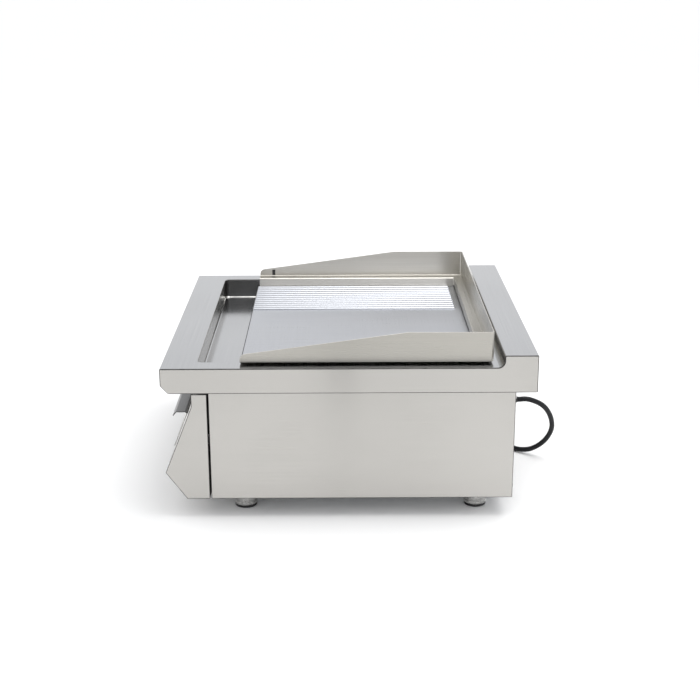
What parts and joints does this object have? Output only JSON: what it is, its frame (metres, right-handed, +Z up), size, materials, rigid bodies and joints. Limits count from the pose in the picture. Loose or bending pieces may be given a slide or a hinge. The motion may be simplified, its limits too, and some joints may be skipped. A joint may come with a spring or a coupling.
{
  "type": "electric griddle",
  "caption": "Countertop electric griddle with a half-ribbed steel plate, three-sided splash guard, front grease trough, sloped control console and pull-out grease drawer.",
  "frame": {"origin": "on the floor under the middle of the worktop", "axes": "+X to the right seen by the cook in front, -Y towards the cook, +Z up"},
  "size_m": [0.7175, 0.6699, 0.311],
  "materials": {
    "brushed_steel": "brushed",
    "guard_steel": "brushed",
    "plate_steel": "satin",
    "galvanised": "satin",
    "heater_sheath": "satin",
    "copper": "satin",
    "brass": "satin",
    "black_plastic": "matte",
    "white_ceramic": "matte",
    "mineral_wool": "matte",
    "black_rubber": "matte",
    "green_lens": "gloss",
    "amber_lens": "gloss",
    "red_plastic": "gloss",
    "dial_print": "satin"
  },
  "bodies": {
    "griddle_body": {"worktop": "brushed_steel", "griddle_plate": "plate_steel", "left_side_panel": "brushed_steel", "right_side_panel": "brushed_steel", "rear_panel": "brushed_steel", "base_plate": "galvanised", "console_panel": "brushed_steel", "drawer_rail_left": "galvanised", "drawer_rail_right": "galvanised", "drain_spout": "brushed_steel", "heat_shield": "galvanised", "insulation": "mineral_wool", "safety_limiter": "black_plastic", "cable_gland": "black_plastic", "terminal_block": "white_ceramic", "inner_lead": "black_rubber", "equipotential_stud": "brass", "power_cord": "black_rubber", "cord_coil": "black_rubber", "cord_tie": "black_plastic", "plug": "black_rubber", "plug_pin_left": "brass", "plug_pin_right": "brass", "thermostat_left": "black_plastic", "dial_plate_left": "dial_print", "power_lamp_left": "green_lens", "heating_lamp_left": "amber_lens", "sensor_left": "copper", "heating_element_left": "heater_sheath", "element_clamp_left": "galvanised", "thermostat_right": "black_plastic", "dial_plate_right": "dial_print", "power_lamp_right": "green_lens", "heating_lamp_right": "amber_lens", "sensor_right": "copper", "heating_element_right": "heater_sheath", "element_clamp_right": "galvanised", "rear_screw_1": "galvanised", "rear_screw_2": "galvanised", "rear_screw_3": "galvanised", "rear_screw_4": "galvanised"},
    "splash_guard": {"splash_guard": "guard_steel"},
    "grease_drawer": {"drawer_front": "brushed_steel", "drawer_tray": "brushed_steel"},
    "knob_left": {"knob_left": "black_plastic", "spindle_left": "galvanised"},
    "knob_right": {"knob_right": "black_plastic", "spindle_right": "galvanised"},
    "reset_button": {"reset_button": "red_plastic"},
    "foot_front_left": {"foot_cup_front_left": "brushed_steel", "foot_pad_front_left": "black_rubber"},
    "foot_front_right": {"foot_cup_front_right": "brushed_steel", "foot_pad_front_right": "black_rubber"},
    "foot_rear_left": {"foot_cup_rear_left": "brushed_steel", "foot_pad_rear_left": "black_rubber"},
    "foot_rear_right": {"foot_cup_rear_right": "brushed_steel", "foot_pad_rear_right": "black_rubber"}
  },
  "joints": [
    {"name": "guard_lift", "type": "slide", "parent": "griddle_body", "child": "splash_guard", "axis": [0, 0, 1], "range_m": [0, 0.08]},
    {"name": "drawer_slide", "type": "slide", "parent": "griddle_body", "child": "grease_drawer", "axis": [0, -1, 0], "range_m": [0, 0.2]},
    {"name": "knob_left_turn", "type": "hinge", "parent": "griddle_body", "child": "knob_left", "pos_m": [-0.215, -0.26769, 0.15404], "axis": [0, 0.9276, -0.3735], "range_deg": [0, 290]},
    {"name": "knob_right_turn", "type": "hinge", "parent": "griddle_body", "child": "knob_right", "pos_m": [-0.095, -0.26769, 0.15404], "axis": [0, 0.9276, -0.3735], "range_deg": [0, 290]},
    {"name": "reset_press", "type": "slide", "parent": "griddle_body", "child": "reset_button", "axis": [0, -1, 0], "range_m": [0, 0.003], "stiffness_N_per_m": 500},
    {"name": "foot_front_left_screw", "type": "hinge", "parent": "griddle_body", "child": "foot_front_left", "pos_m": [-0.241, -0.173, 0], "axis": [0, 0, 1], "continuous": true},
    {"name": "foot_front_right_screw", "type": "hinge", "parent": "griddle_body", "child": "foot_front_right", "pos_m": [0.241, -0.173, 0], "axis": [0, 0, 1], "continuous": true},
    {"name": "foot_rear_left_screw", "type": "hinge", "parent": "griddle_body", "child": "foot_rear_left", "pos_m": [-0.241, 0.211, 0], "axis": [0, 0, 1], "continuous": true},
    {"name": "foot_rear_right_screw", "type": "hinge", "parent": "griddle_body", "child": "foot_rear_right", "pos_m": [0.241, 0.211, 0], "axis": [0, 0, 1], "continuous": true}
  ]
}
